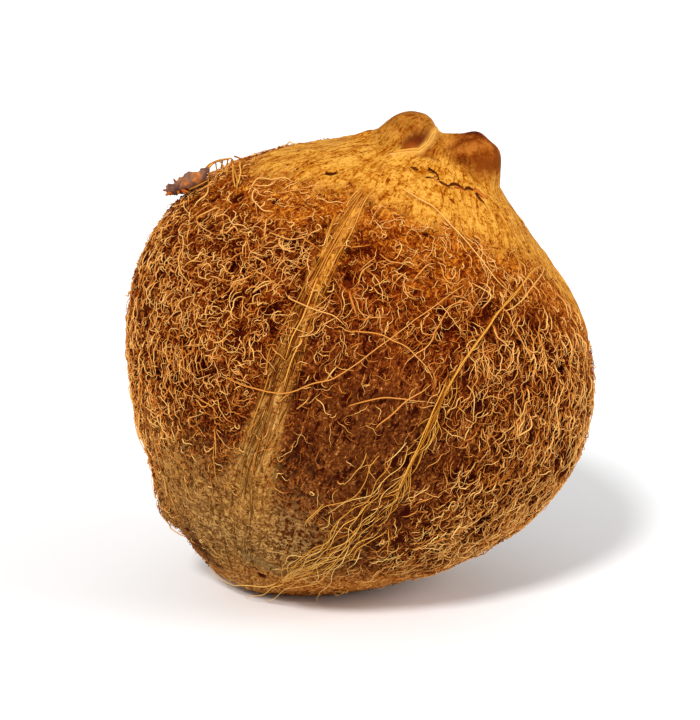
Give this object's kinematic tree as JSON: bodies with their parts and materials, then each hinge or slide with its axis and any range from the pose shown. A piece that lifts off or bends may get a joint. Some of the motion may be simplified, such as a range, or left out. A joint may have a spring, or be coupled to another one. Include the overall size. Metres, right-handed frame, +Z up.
{
  "type": "coconut",
  "caption": "Whole dehusked brown coconut with matted coir fibres and two husk knobs at its stem end, resting on a small flat spot.",
  "frame": {"origin": "on the flat spot that the nut rests on, under its centre of mass", "axes": "+Z up, front towards -Y; the stem end with its two husk knobs leans from +Z towards +X"},
  "size_m": [0.1195, 0.118, 0.1212],
  "materials": {
    "coir_husk": "matt fibrous husk"
  },
  "bodies": {
    "root": {"coconut": "coir_husk"}
  },
  "joints": []
}
